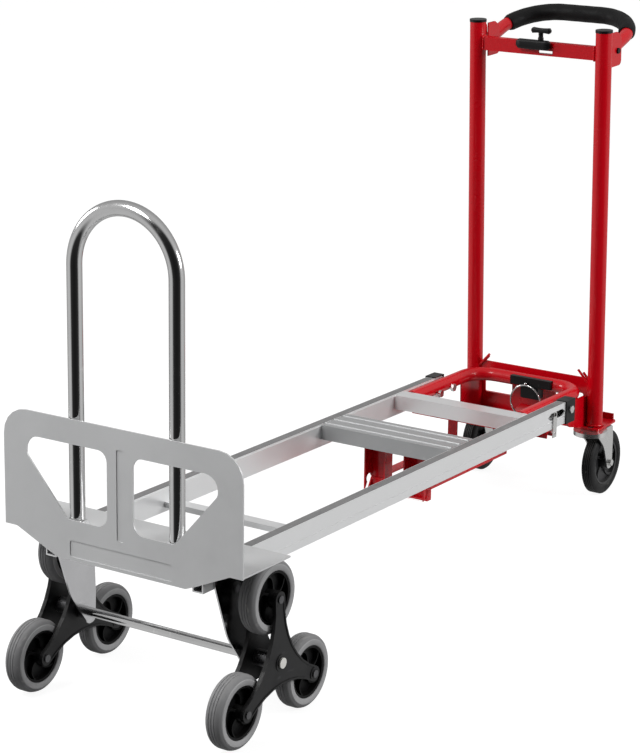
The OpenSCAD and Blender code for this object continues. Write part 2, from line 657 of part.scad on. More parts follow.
tube_x = deck_x(u_cross, u_tube_w);
tube_z = deck_up(u_cross, u_tube_w);
block_reach = 19;
module ring_housing() color(dark) place() translate([tube_x, ring_y, tube_z]) difference() {
    union() {
        translate([-block_reach, -46, -6]) cube([10, 92, 17.5]);
        translate([-block_reach, -18, -31]) cube([22, 40, 26]);
    }
    rod_y(0, 0, u_tube_d / 2 + seat_gap, -60, 60);
    translate([-30, ring_off, 0]) rotate([0, 90, 0]) cylinder(r = 2 + run_gap, h = 30 - u_tube_d / 2 - 1, $fn = 32);
}
ring_x = tube_x - block_reach - 3.8;
module pull_ring() color(bright) place() translate([ring_x, ring_y + ring_off, 0]) {
    translate([0, 0, tube_z - ring_r - ring_wire - 1.4]) rotate([0, 90, 0])
        rotate_extrude($fn = 96) translate([ring_r, 0]) circle(r = ring_wire, $fn = 24);
    translate([-1, 0, tube_z]) rotate([0, 90, 0]) cylinder(r = 2, h = 8.5, $fn = 32);
    translate([-1, 0, tube_z]) sphere(r = 3.4, $fn = 32);
}

module lock_pin(s) color(bright) deck() scale_y(s) {
    rod_y(lock_u, pivot_w, lock_r, u_half - u_tube_d / 2 - 8, rail_in - lock_tip);
    rod_y(lock_u, pivot_w, lock_r + 3, u_half - u_tube_d / 2 - 10, u_half - u_tube_d / 2 - 5);
}
module lock_pin_left() lock_pin(1);
module lock_pin_right() lock_pin(-1);

// Spring latch on the crossbar

module latch_body() color(dark) place() difference() {
    translate([bar_front - 14 - seat_gap, latch_y - 37, bar_bottom + 12]) cube([14, 75, 19]);
    translate([bar_front - 7, latch_y - 16, bar_bottom]) cylinder(r = 4 + run_gap, h = 50, $fn = fine);
}
module latch_knob() color(dark) place() translate([bar_front - 7, latch_y - 16, 0]) {
    translate([0, 0, bar_bottom + 14]) cylinder(r = 4, h = 32, $fn = fine);
    translate([-6, -22, bar_bottom + 44]) cube([12, 42, 12]);
}

// Casters

module at_caster(s) place() scale_y(s) translate([swivel_x, swivel_y, 0]) children();
fork_top = base_z - plate_t - 0.4;
fork_pts = rounded([[caster_trail - 9, caster_z - 12], [caster_trail + 9, caster_z - 12],
    [caster_trail + 12, fork_top - 30], [caster_trail + 10, fork_top - 4], [-12, fork_top - 4],
    [caster_trail - 26, fork_top - 40]], [9, 9, 40, 4, 3, 60]);

module caster_fork(s) color([0.8, 0.8, 0.79]) at_caster(s) {
    difference() {
        union() {
            for (k = [0, 1]) mirror([0, k, 0]) plate_y(fork_pts, fork_half, fork_half + fork_t);
            translate([-18, -fork_half - fork_t, fork_top - 6]) cube([caster_trail + 24, 2 * (fork_half + fork_t), 3]);
            translate([0, 0, fork_top - 9]) cylinder(r = head_r, h = 9, $fn = fine);
            cylinder_at(kingpin_r, fork_top - 1, base_z - 0.2);
        }
        rod_y(caster_trail, caster_z, caster_d / 2 + 1.5, -fork_half, fork_half);
        rod_y(caster_trail, caster_z, 4 + seat_gap, -40, 40);
    }
    rod_y(caster_trail, caster_z, 4, -fork_half - fork_t - 3, fork_half + fork_t + 3);
    for (k = [0, 1]) mirror([0, k, 0])
        hex_y(caster_trail, caster_z, 7, fork_half + fork_t + seat_gap, fork_half + fork_t + 5);
}
module cylinder_at(r, z0, z1) translate([0, 0, z0]) cylinder(r = r, h = z1 - z0, $fn = fine);
module caster_fork_left() caster_fork(1);
module caster_fork_right() caster_fork(-1);

module caster_wheel(s) color([0.12, 0.12, 0.13]) at_caster(s) translate([caster_trail, 0, caster_z]) {
    tyre(caster_d / 2, 40, caster_w, 5);
    spoked_hub(40 - seat_gap, caster_w - 3, 14, fork_half - side_gap, 4 + run_gap, 5);
}
module caster_wheel_left() caster_wheel(1);
module caster_wheel_right() caster_wheel(-1);

rail_left();
rail_right();
front_rung();
ribbed_step();
rear_rung();
toe_plate();
loop_lugs();
loop_pins();
toe_loop();
axle_bracket_left();
axle_bracket_right();
main_axle();
axle_caps();
deck_bolts();
rail_end_caps();
under_frame();
under_frame_links();
pivot_bolts();
spider_outer_left();
spider_inner_left();
wheel_pins_left();
spider_outer_right();
spider_inner_right();
wheel_pins_right();
tyre_top_left();
tyre_front_left();
tyre_rear_left();
tyre_top_right();
tyre_front_right();
tyre_rear_right();
hub_top_left();
hub_front_left();
hub_rear_left();
hub_top_right();
hub_front_right();
hub_rear_right();
u_tube();
base_plate();
back_plate();
corner_webs();
strap_prongs();
post_left();
post_right();
post_caps();
crossbar();
bow_brackets();
bow_handle();
bow_bolts();
foam_grip();
ring_housing();
pull_ring();
lock_pin_left();
lock_pin_right();
latch_body();
latch_knob();
caster_fork_left();
caster_fork_right();
caster_wheel_left();
caster_wheel_right();
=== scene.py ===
import math
import bmesh
import bpy
from mathutils import Matrix, Vector


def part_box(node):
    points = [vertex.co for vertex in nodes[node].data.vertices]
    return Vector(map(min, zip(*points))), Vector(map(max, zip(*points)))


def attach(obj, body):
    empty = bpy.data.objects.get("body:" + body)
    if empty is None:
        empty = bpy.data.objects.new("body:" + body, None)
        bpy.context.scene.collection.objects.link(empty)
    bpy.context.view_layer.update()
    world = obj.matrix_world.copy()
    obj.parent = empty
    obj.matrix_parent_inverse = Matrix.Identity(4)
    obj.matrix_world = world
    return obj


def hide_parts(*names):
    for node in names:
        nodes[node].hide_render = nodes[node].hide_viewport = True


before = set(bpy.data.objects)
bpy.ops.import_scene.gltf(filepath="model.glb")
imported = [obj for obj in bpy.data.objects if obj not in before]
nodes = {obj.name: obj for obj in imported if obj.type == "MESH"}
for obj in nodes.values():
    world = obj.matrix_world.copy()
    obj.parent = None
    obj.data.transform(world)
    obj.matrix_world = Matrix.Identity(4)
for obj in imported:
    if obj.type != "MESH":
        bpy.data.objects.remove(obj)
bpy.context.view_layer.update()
scene = bpy.context.scene
print("stage: frame loaded,", len(nodes), "parts")

# camera, floor and light

cameraSetup = {"place": (-3.5238, -2.2568, 1.6746), "yaw": 34.0, "down": 17.1, "roll": -0.6, "lens": 115.5}


def makeCamera(setup):
    yaw, down, roll = (math.radians(setup[k]) for k in ("yaw", "down", "roll"))
    look = Vector((math.cos(yaw) * math.cos(down), math.sin(yaw) * math.cos(down), -math.sin(down)))
    right = Vector((math.sin(yaw), -math.cos(yaw), 0))
    up = right.cross(look)
    tiltedRight = math.cos(roll) * right + math.sin(roll) * up
    tiltedUp = -math.sin(roll) * right + math.cos(roll) * up
    data = bpy.data.cameras.new("viewCamera")
    data.lens = setup["lens"]
    data.sensor_width = 36
    data.clip_end = 100
    camera = bpy.data.objects.new("viewCamera", data)
    turn = Matrix((tiltedRight, tiltedUp, -look)).transposed().to_4x4()
    camera.matrix_world = Matrix.Translation(setup["place"]) @ turn
    scene.collection.objects.link(camera)
    scene.camera = camera


makeCamera(cameraSetup)


def addNode(tree, kind, inputs=None, **settings):
    node = tree.nodes.new(kind)
    for key, value in settings.items():
        setattr(node, key, value)
    for key, value in (inputs or {}).items():
        if isinstance(value, bpy.types.NodeSocket):
            tree.links.new(value, node.inputs[key])
        else:
            node.inputs[key].default_value = value
    return node


studio = {
    "darkPanel": (-0.83, -0.56, 0.0), "panelStops": [(0.0, 0.55), (0.5, 0.95), (0.70, 0.90), (0.83, 0.05), (1.0, 0.02)],
    "worldLevel": 0.70, "floorColor": (0.20, 0.20, 0.20, 1), "floorGlow": 0.90, "floorInGloss": 0.75,
    "lamps": [
        {"name": "keyLamp", "at": (-2.4, 0.9, 3.2), "size": 1.5, "power": 70},
        {"name": "sideLamp", "at": (1.2, -3.4, 1.7), "size": 1.3, "power": 80},
        {"name": "leftLamp", "at": (-1.2, 3.2, 1.6), "size": 1.2, "power": 40},
    ],
}


def makePanelGroup(setup):
    # how bright the room is in a direction: a dark panel on one side between two bright walls
    group = bpy.data.node_groups.new("roomPanels", "ShaderNodeTree")
    group.interface.new_socket(name="Direction", in_out="INPUT", socket_type="NodeSocketVector")
    group.interface.new_socket(name="Level", in_out="OUTPUT", socket_type="NodeSocketFloat")
    given = group.nodes.new("NodeGroupInput").outputs
    result = group.nodes.new("NodeGroupOutput")
    toward = addNode(group, "ShaderNodeVectorMath", {0: given["Direction"], 1: setup["darkPanel"]}, operation="DOT_PRODUCT")
    share = addNode(group, "ShaderNodeMapRange", {"Value": toward.outputs["Value"], "From Min": -1.0, "From Max": 1.0})
    ramp = addNode(group, "ShaderNodeValToRGB", {"Fac": share.outputs["Result"]})
    stops = ramp.color_ramp.elements
    first, last = setup["panelStops"][0], setup["panelStops"][-1]
    stops[0].position, stops[0].color = first[0], (first[1],) * 3 + (1,)
    stops[1].position, stops[1].color = last[0], (last[1],) * 3 + (1,)
    for place, level in setup["panelStops"][1:-1]:
        stops.new(place).color = (level,) * 3 + (1,)
    group.links.new(ramp.outputs["Color"], result.inputs["Level"])
    return group


def makeStudio(setup):
    world = bpy.data.worlds.new("studioWorld")
    scene.world = world
    world.use_nodes = True
    tree = world.node_tree
    tree.nodes.clear()
    panels = makePanelGroup(setup)
    direction = addNode(tree, "ShaderNodeTexCoord")
    room = addNode(tree, "ShaderNodeGroup", node_tree=panels)
    tree.links.new(direction.outputs["Generated"], room.inputs["Direction"])
    light = addNode(tree, "ShaderNodeBackground", {"Color": room.outputs["Level"], "Strength": setup["worldLevel"]})
    white = addNode(tree, "ShaderNodeBackground", {"Color": (1, 1, 1, 1), "Strength": 1.0})
    path = addNode(tree, "ShaderNodeLightPath")
    mixed = addNode(tree, "ShaderNodeMixShader", {0: path.outputs["Is Camera Ray"], 1: light.outputs[0], 2: white.outputs[0]})
    addNode(tree, "ShaderNodeOutputWorld", {"Surface": mixed.outputs[0]})

    floorMaterial = bpy.data.materials.new("paleFloor")
    floorMaterial.use_nodes = True
    tree = floorMaterial.node_tree
    tree.nodes.clear()
    matt = addNode(tree, "ShaderNodeBsdfDiffuse", {"Color": setup["floorColor"]})
    path = addNode(tree, "ShaderNodeLightPath")
    seen = addNode(tree, "ShaderNodeMath", {0: path.outputs["Is Camera Ray"], 1: setup["floorGlow"]}, operation="MULTIPLY")
    lit = addNode(tree, "ShaderNodeEmission", {"Color": (1, 1, 1, 1), "Strength": seen.outputs[0]})
    both = addNode(tree, "ShaderNodeAddShader", {0: matt.outputs[0], 1: lit.outputs[0]})
    ray = addNode(tree, "ShaderNodeNewGeometry")
    onward = addNode(tree, "ShaderNodeVectorMath", {0: ray.outputs["Incoming"], 1: (-1, -1, -1)}, operation="MULTIPLY")
    room = addNode(tree, "ShaderNodeGroup", node_tree=panels)
    tree.links.new(onward.outputs[0], room.inputs["Direction"])
    level = addNode(tree, "ShaderNodeMath", {0: room.outputs["Level"], 1: setup["floorInGloss"]}, operation="MULTIPLY")
    mirrored = addNode(tree, "ShaderNodeEmission", {"Color": (1, 1, 1, 1), "Strength": level.outputs[0]})
    picked = addNode(tree, "ShaderNodeMixShader", {0: path.outputs["Is Glossy Ray"], 1: both.outputs[0], 2: mirrored.outputs[0]})
    addNode(tree, "ShaderNodeOutputMaterial", {"Surface": picked.outputs[0]})
    sheet = bpy.data.meshes.new("studioFloor")
    sheet.from_pydata([(-30, -30, 0), (30, -30, 0), (30, 30, 0), (-30, 30, 0)], [], [(0, 1, 2, 3)])
    sheet.materials.append(floorMaterial)
    floor = bpy.data.objects.new("studioFloor", sheet)
    scene.collection.objects.link(floor)

    for lamp in setup["lamps"]:
        data = bpy.data.lights.new(lamp["name"], "AREA")
        data.shape, data.size, data.energy = "DISK", lamp["size"], lamp["power"]
        made = bpy.data.objects.new(lamp["name"], data)
        made.location = lamp["at"]
        aim = Vector((0, 0, 0.35)) - made.location
        made.rotation_euler = aim.to_track_quat("-Z", "Y").to_euler()
        scene.collection.objects.link(made)
    scene.view_settings.view_transform = "Standard"


makeStudio(studio)
print("stage: camera and studio made")

# shader groups, each shared by several finishes


def startGroup(name, inputs, outputs):
    group = bpy.data.node_groups.new(name, "ShaderNodeTree")
    for label, kind, value in inputs:
        group.interface.new_socket(name=label, in_out="INPUT", socket_type=kind).default_value = value
    for label, kind in outputs:
        group.interface.new_socket(name=label, in_out="OUTPUT", socket_type=kind)
    return group, group.nodes.new("NodeGroupInput").outputs, group.nodes.new("NodeGroupOutput")


def makeHandledGroup():
    # slow clouds of colour and gloss, as handling and cleaning leave them
    group, given, result = startGroup("handledSurface", [
        ("Color", "NodeSocketColor", (0.5, 0.5, 0.5, 1)), ("Shade", "NodeSocketColor", (0.3, 0.3, 0.3, 1)),
        ("Amount", "NodeSocketFloat", 0.3), ("Scale", "NodeSocketFloat", 8.0),
        ("Smooth", "NodeSocketFloat", 0.3), ("Dull", "NodeSocketFloat", 0.5)],
        [("Color", "NodeSocketColor"), ("Roughness", "NodeSocketFloat")])
    place = addNode(group, "ShaderNodeTexCoord")
    cloud = addNode(group, "ShaderNodeTexNoise", {"Vector": place.outputs["Object"], "Scale": given["Scale"], "Detail": 6.0, "Roughness": 0.6})
    spread = addNode(group, "ShaderNodeMapRange", {"Value": cloud.outputs["Fac"], "From Min": 0.35, "From Max": 0.68})
    share = addNode(group, "ShaderNodeMath", {0: spread.outputs["Result"], 1: given["Amount"]}, operation="MULTIPLY")
    tone = addNode(group, "ShaderNodeMix", {"Factor": share.outputs[0], 6: given["Color"], 7: given["Shade"]}, data_type="RGBA")
    fine = addNode(group, "ShaderNodeTexNoise", {"Vector": place.outputs["Object"], "Scale": 60.0, "Detail": 4.0})
    blend = addNode(group, "ShaderNodeMath", {0: spread.outputs["Result"], 1: fine.outputs["Fac"]}, operation="MULTIPLY")
    gloss = addNode(group, "ShaderNodeMapRange", {
        "Value": blend.outputs[0], "From Min": 0.1, "From Max": 0.55, "To Min": given["Smooth"], "To Max": given["Dull"]})
    group.links.new(tone.outputs[2], result.inputs["Color"])
    group.links.new(gloss.outputs["Result"], result.inputs["Roughness"])
    return group


def makeGrainGroup():
    # fine relief: drawn lines, cast grain or orange peel, by how it is stretched
    group, given, result = startGroup("fineGrain", [
        ("Stretch", "NodeSocketVector", (1, 1, 1)), ("Scale", "NodeSocketFloat", 300.0), ("Detail", "NodeSocketFloat", 3.0)],
        [("Height", "NodeSocketFloat")])
    place = addNode(group, "ShaderNodeTexCoord")
    drawn = addNode(group, "ShaderNodeVectorMath", {0: place.outputs["Object"], 1: given["Stretch"]}, operation="MULTIPLY")
    grain = addNode(group, "ShaderNodeTexNoise", {"Vector": drawn.outputs[0], "Scale": given["Scale"], "Detail": given["Detail"]})
    group.links.new(grain.outputs["Fac"], result.inputs["Height"])
    return group


def makeScuffGroup():
    # short bright or dull rubs, and dust that lies on what faces up
    group, given, result = startGroup("scuffAndDust", [
        ("Color", "NodeSocketColor", (0.5, 0.5, 0.5, 1)), ("Scuff Color", "NodeSocketColor", (0.6, 0.6, 0.6, 1)),
        ("Scuff", "NodeSocketFloat", 0.2), ("Dust Color", "NodeSocketColor", (0.6, 0.58, 0.55, 1)),
        ("Dust", "NodeSocketFloat", 0.1)], [("Color", "NodeSocketColor"), ("Mask", "NodeSocketFloat")])
    place = addNode(group, "ShaderNodeTexCoord")
    turned = addNode(group, "ShaderNodeMapping", {"Vector": place.outputs["Object"], "Rotation": (0.5, 0.9, 0.3), "Scale": (18, 130, 60)})
    line = addNode(group, "ShaderNodeTexNoise", {"Vector": turned.outputs[0], "Scale": 1.0, "Detail": 2.0})
    thin = addNode(group, "ShaderNodeMapRange", {"Value": line.outputs["Fac"], "From Min": 0.66, "From Max": 0.76})
    scuffed = addNode(group, "ShaderNodeMath", {0: thin.outputs["Result"], 1: given["Scuff"]}, operation="MULTIPLY")
    rubbed = addNode(group, "ShaderNodeMix", {"Factor": scuffed.outputs[0], 6: given["Color"], 7: given["Scuff Color"]}, data_type="RGBA")
    facing = addNode(group, "ShaderNodeNewGeometry")
    parts = addNode(group, "ShaderNodeSeparateXYZ", {0: facing.outputs["Normal"]})
    upward = addNode(group, "ShaderNodeMapRange", {"Value": parts.outputs["Z"], "From Min": 0.3, "From Max": 1.0})
    speck = addNode(group, "ShaderNodeTexNoise", {"Vector": place.outputs["Object"], "Scale": 35.0, "Detail": 8.0, "Roughness": 0.7})
    settled = addNode(group, "ShaderNodeMath", {0: upward.outputs["Result"], 1: speck.outputs["Fac"]}, operation="MULTIPLY")
    dusty = addNode(group, "ShaderNodeMath", {0: settled.outputs[0], 1: given["Dust"]}, operation="MULTIPLY")
    final = addNode(group, "ShaderNodeMix", {"Factor": dusty.outputs[0], 6: rubbed.outputs[2], 7: given["Dust Color"]}, data_type="RGBA")
    group.links.new(final.outputs[2], result.inputs["Color"])
    group.links.new(scuffed.outputs[0], result.inputs["Mask"])
    return group


handledSurface = makeHandledGroup()
fineGrain = makeGrainGroup()
scuffAndDust = makeScuffGroup()


def placeGroup(tree, group, inputs):
    node = tree.nodes.new("ShaderNodeGroup")
    node.node_tree = group
    for key, value in inputs.items():
        if isinstance(value, bpy.types.NodeSocket):
            tree.links.new(value, node.inputs[key])
        else:
            node.inputs[key].default_value = value
    return node


def solid(color):
    return (*color, 1)


def makeFinish(name, look):
    material = bpy.data.materials.new(name)
    material.use_nodes = True
    tree = material.node_tree
    shader = tree.nodes["Principled BSDF"]
    handled = placeGroup(tree, handledSurface, {
        "Color": solid(look["color"]), "Shade": solid(look["shade"]), "Amount": look["clouds"],
        "Scale": look.get("cloudScale", 9.0), "Smooth": look["smooth"], "Dull": look["dull"]})
    scuffed = placeGroup(tree, scuffAndDust, {
        "Color": handled.outputs["Color"], "Scuff Color": solid(look.get("scuffColor", look["color"])),
        "Scuff": look.get("scuff", 0.2), "Dust": look.get("dust", 0.08)})
    grain = placeGroup(tree, fineGrain, {
        "Stretch": look.get("stretch", (1, 1, 1)), "Scale": look["grain"], "Detail": look.get("grainDetail", 3.0)})
    bump = addNode(tree, "ShaderNodeBump", {
        "Height": grain.outputs["Height"], "Strength": look["relief"], "Distance": look.get("depth", 0.0004)})
    tree.links.new(scuffed.outputs["Color"], shader.inputs["Base Color"])
    tree.links.new(handled.outputs["Roughness"], shader.inputs["Roughness"])
    tree.links.new(bump.outputs["Normal"], shader.inputs["Normal"])
    shader.inputs["Metallic"].default_value = look.get("metal", 0.0)
    shader.inputs["Coat Weight"].default_value = look.get("coat", 0.0)
    shader.inputs["Coat Roughness"].default_value = look.get("coatRough", 0.08)
    shader.inputs["Specular IOR Level"].default_value = look.get("specular", 0.5)
    return material


# finishes

railFinish = {"color": (0.88, 0.885, 0.89), "shade": (0.76, 0.765, 0.77),
    "clouds": 0.35, "cloudScale": 5.0, "smooth": 0.30, "dull": 0.46,
    "metal": 0.62, "stretch": (0.02, 1, 1), "grain": 700.0, "relief": 0.10, "scuff": 0.25, "scuffColor": (0.9, 0.9, 0.9)}
stripFinish = {"color": (0.125, 0.127, 0.132), "shade": (0.085, 0.085, 0.09), "clouds": 0.5, "smooth": 0.45, "dull": 0.65,
    "stretch": (0.05, 1, 1), "grain": 500.0, "relief": 0.25, "scuff": 0.5, "scuffColor": (0.4, 0.4, 0.41), "dust": 0.25}
plateFinish = {"color": (0.66, 0.665, 0.67), "shade": (0.56, 0.565, 0.57),
    "clouds": 0.4, "cloudScale": 6.0, "smooth": 0.42, "dull": 0.58,
    "metal": 0.35, "grain": 900.0, "relief": 0.10, "scuff": 0.3, "scuffColor": (0.66, 0.66, 0.67), "dust": 0.15}
polishedFinish = {"color": (0.62, 0.62, 0.62), "shade": (0.5, 0.5, 0.505), "clouds": 0.3, "smooth": 0.08, "dull": 0.2,
    "metal": 1.0, "stretch": (1, 1, 0.05), "grain": 600.0, "relief": 0.03, "scuff": 0.3, "scuffColor": (0.92, 0.92, 0.92)}
bracketFinish = {"color": (0.62, 0.62, 0.63), "shade": (0.45, 0.45, 0.46), "clouds": 0.4, "smooth": 0.13, "dull": 0.28,
    "metal": 1.0, "stretch": (1, 1, 0.1), "grain": 500.0, "relief": 0.05, "scuff": 0.3, "scuffColor": (0.85, 0.85, 0.85)}
zincFinish = {"color": (0.70, 0.70, 0.69), "shade": (0.60, 0.60, 0.60),
    "clouds": 0.35, "cloudScale": 18.0, "smooth": 0.18, "dull": 0.32,
    "metal": 0.9, "grain": 400.0, "relief": 0.04, "scuff": 0.3, "scuffColor": (0.88, 0.88, 0.86)}
redFinish = {"color": (0.58, 0.0004, 0.007), "shade": (0.50, 0.0003, 0.006),
    "clouds": 0.35, "cloudScale": 4.0, "smooth": 0.22, "dull": 0.34,
    "coat": 0.2, "coatRough": 0.05, "grain": 220.0, "relief": 0.03, "depth": 0.0003,
    "scuff": 0.08, "scuffColor": (0.62, 0.02, 0.03), "dust": 0.01, "specular": 0.3}
plasticFinish = {"color": (0.004, 0.004, 0.0045), "shade": (0.009, 0.009, 0.0095),
    "specular": 0.22, "clouds": 0.4, "smooth": 0.32, "dull": 0.5,
    "grain": 1400.0, "relief": 0.2, "depth": 0.0002, "scuff": 0.3, "scuffColor": (0.06, 0.06, 0.06), "dust": 0.03}
spiderFinish = {"color": (0.005, 0.005, 0.0055), "shade": (0.011, 0.011, 0.012),
    "specular": 0.28, "clouds": 0.5, "cloudScale": 14.0, "smooth": 0.35, "dull": 0.52,
    "grain": 1100.0, "relief": 0.22, "depth": 0.0002, "scuff": 0.4, "scuffColor": (0.09, 0.09, 0.095), "dust": 0.06}
treadFinish = {"color": (0.22, 0.22, 0.225), "shade": (0.16, 0.16, 0.165),
    "clouds": 0.6, "cloudScale": 18.0, "smooth": 0.6, "dull": 0.82,
    "grain": 800.0, "relief": 0.4, "depth": 0.0003, "scuff": 0.5, "scuffColor": (0.4, 0.39, 0.38), "dust": 0.2}
sideRingFinish = {"color": (0.38, 0.38, 0.385), "shade": (0.32, 0.32, 0.325),
    "clouds": 0.5, "cloudScale": 20.0, "smooth": 0.5, "dull": 0.7,
    "grain": 900.0, "relief": 0.25, "depth": 0.0002, "scuff": 0.4, "scuffColor": (0.5, 0.5, 0.5), "dust": 0.1}
casterRubberFinish = {"color": (0.006, 0.006, 0.0065), "shade": (0.013, 0.013, 0.0135),
    "specular": 0.25, "clouds": 0.6, "cloudScale": 22.0, "smooth": 0.5, "dull": 0.75,
    "grain": 900.0, "relief": 0.35, "depth": 0.0003, "scuff": 0.5, "scuffColor": (0.16, 0.155, 0.15), "dust": 0.2}
casterRimFinish = {"color": (0.012, 0.012, 0.013), "shade": (0.024, 0.024, 0.025), "clouds": 0.5, "smooth": 0.38, "dull": 0.55,
    "grain": 1000.0, "relief": 0.2, "depth": 0.0002, "scuff": 0.3, "scuffColor": (0.28, 0.28, 0.28), "dust": 0.1}
foamFinish = {"color": (0.004, 0.004, 0.0043), "shade": (0.008, 0.008, 0.0085),
    "clouds": 0.6, "cloudScale": 30.0, "smooth": 0.5, "dull": 0.7,
    "grain": 1500.0, "grainDetail": 6.0, "relief": 0.4, "depth": 0.0004,
    "scuff": 0.2, "scuffColor": (0.03, 0.03, 0.03), "specular": 0.15, "dust": 0.02}
stepFinish = {"color": (0.46, 0.465, 0.47), "shade": (0.36, 0.365, 0.37),
    "clouds": 0.5, "cloudScale": 6.0, "smooth": 0.40, "dull": 0.55,
    "metal": 0.6, "stretch": (1, 0.02, 1), "grain": 600.0, "relief": 0.12, "scuff": 0.35, "scuffColor": (0.6, 0.6, 0.6), "dust": 0.1}
capFinish = {"color": (0.85, 0.84, 0.80), "shade": (0.72, 0.71, 0.68), "clouds": 0.4, "smooth": 0.15, "dull": 0.3,
    "metal": 0.5, "grain": 500.0, "relief": 0.08, "scuff": 0.2, "scuffColor": (0.95, 0.95, 0.92)}

hubFinish = {"color": (0.0022, 0.0022, 0.0024), "shade": (0.005, 0.005, 0.0053),
    "specular": 0.12, "clouds": 0.4, "smooth": 0.4, "dull": 0.6,
    "grain": 1200.0, "relief": 0.2, "depth": 0.0002, "scuff": 0.3, "scuffColor": (0.04, 0.04, 0.04), "dust": 0.02}
pinFinish = {"color": (0.10, 0.10, 0.105), "shade": (0.18, 0.18, 0.185),
    "clouds": 0.5, "cloudScale": 50.0, "smooth": 0.25, "dull": 0.45,
    "metal": 0.9, "grain": 600.0, "relief": 0.08, "scuff": 0.5, "scuffColor": (0.5, 0.5, 0.5)}

railAluminium = makeFinish("railAluminium", railFinish)
darkStrip = makeFinish("darkStrip", stripFinish)
plateAluminium = makeFinish("plateAluminium", plateFinish)
polishedSteel = makeFinish("polishedSteel", polishedFinish)
bracketSteel = makeFinish("bracketSteel", bracketFinish)
zincSteel = makeFinish("zincSteel", zincFinish)
redPaint = makeFinish("redPaint", redFinish)
blackPlastic = makeFinish("blackPlastic", plasticFinish)
spiderPlastic = makeFinish("spiderPlastic", spiderFinish)
treadRubber = makeFinish("treadRubber", treadFinish)
sideRubber = makeFinish("sideRubber", sideRingFinish)
casterRubber = makeFinish("casterRubber", casterRubberFinish)
casterRim = makeFinish("casterRim", casterRimFinish)
foamSkin = makeFinish("foamSkin", foamFinish)
capMetal = makeFinish("capMetal", capFinish)
pinSteel = makeFinish("pinSteel", pinFinish)
hubPlastic = makeFinish("hubPlastic", hubFinish)
stepAluminium = makeFinish("stepAluminium", stepFinish)

wornBy = {
    railAluminium: ["rail_left", "rail_right", "front_rung", "rear_rung"],
    stepAluminium: ["ribbed_step"],
    plateAluminium: ["toe_plate", "loop_lugs"],
    polishedSteel: ["toe_loop", "main_axle", "loop_pins", "pull_ring", "lock_pin_left", "lock_pin_right"],
    bracketSteel: ["axle_bracket_left", "axle_bracket_right"],
    zincSteel: ["caster_fork_left", "caster_fork_right", "deck_bolts", "pivot_bolts", "under_frame_links"],
    pinSteel: ["wheel_pins_left", "wheel_pins_right"],
    redPaint: ["under_frame", "u_tube", "base_plate", "back_plate", "corner_webs", "strap_prongs",
        "post_left", "post_right", "crossbar", "bow_brackets", "bow_handle"],
    blackPlastic: ["rail_end_caps", "post_caps", "ring_housing", "latch_body", "latch_knob", "bow_bolts"],
    spiderPlastic: ["spider_outer_left", "spider_outer_right", "spider_inner_left", "spider_inner_right"],
    capMetal: ["axle_caps"],
}
for material, names in wornBy.items():
    for name in names:
        nodes[name].data.materials.clear()
        nodes[name].data.materials.append(material)
print("stage: finishes made")

# mesh helpers


def makePiece(name, verts, faces, materials, body, sharp=35, picks=None):
    mesh = bpy.data.meshes.new(name)
    mesh.from_pydata([tuple(v) for v in verts], [], faces)
    for material in materials:
        mesh.materials.append(material)
    if picks:
        for face, pick in zip(mesh.polygons, picks):
            face.material_index = pick
    work = bmesh.new()
    work.from_mesh(mesh)
    bmesh.ops.recalc_face_normals(work, faces=work.faces)
    work.to_mesh(mesh)
    work.free()
    mesh.shade_smooth()
    mesh.set_sharp_from_angle(angle=math.radians(sharp))
    piece = bpy.data.objects.new(name, mesh)
    scene.collection.objects.link(piece)
    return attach(piece, body)


def latheShape(profile, centre, axis, steps, closed=True):
    # profile is (distance from the axis, place along it); a closed profile makes a ring
    axis = Vector(axis).normalized()
    side = axis.orthogonal().normalized()
    other = axis.cross(side)
    verts, faces = [], []
    count = len(profile)
    for i in range(steps):
        turn = 2 * math.pi * i / steps
        out = side * math.cos(turn) + other * math.sin(turn)
        verts += [Vector(centre) + out * r + axis * a for r, a in profile]
    last = count if closed else count - 1
    for i in range(steps):
        here, there = i * count, (i + 1) % steps * count
        for k in range(last):
            n = (k + 1) % count
            faces.append((here + k, here + n, there + n, there + k))
    return verts, faces


def tubeShape(points, radii, steps=20, closed=False):
    # a round tube along points, with its ends closed by caps
    points = [Vector(p) for p in points]
    count = len(points)
    verts, faces = [], []
    side = None
    for i, point in enumerate(points):
        before = points[(i - 1) % count] if closed or i else point
        after = points[(i + 1) % count] if closed or i < count - 1 else point
        along = (after - before).normalized()
        side = along.orthogonal() if side is None else side - along * side.dot(along)
        side.normalize()
        other = along.cross(side)
        radius = radii[i] if isinstance(radii, list) else radii
        for k in range(steps):
            turn = 2 * math.pi * k / steps
            verts.append(point + (side * math.cos(turn) + other * math.sin(turn)) * radius)
    for i in range(count if closed else count - 1):
        here, there = i * steps, (i + 1) % count * steps
        for k in range(steps):
            n = (k + 1) % steps
            faces.append((here + k, here + n, there + n, there + k))
    if not closed:
        faces.append(tuple(range(steps)))
        faces.append(tuple((count - 1) * steps + k for k in range(steps)))
    return verts, faces


def joinShapes(shapes):
    verts, faces = [], []
    for shapeVerts, shapeFaces in shapes:
        start = len(verts)
        verts += shapeVerts
        faces += [tuple(start + k for k in face) for face in shapeFaces]
    return verts, faces


# stair wheels

stairWheel = {"grooves": 3, "grooveDepth": 0.0009, "ringInner": 0.0457, "ringOuter": 0.0535,
    "spokes": 5, "spokeSweep": 34, "spokeThick": 0.0042, "bossRadius": 0.0125, "boreRadius": 0.0051, "webHalf": 0.0025}


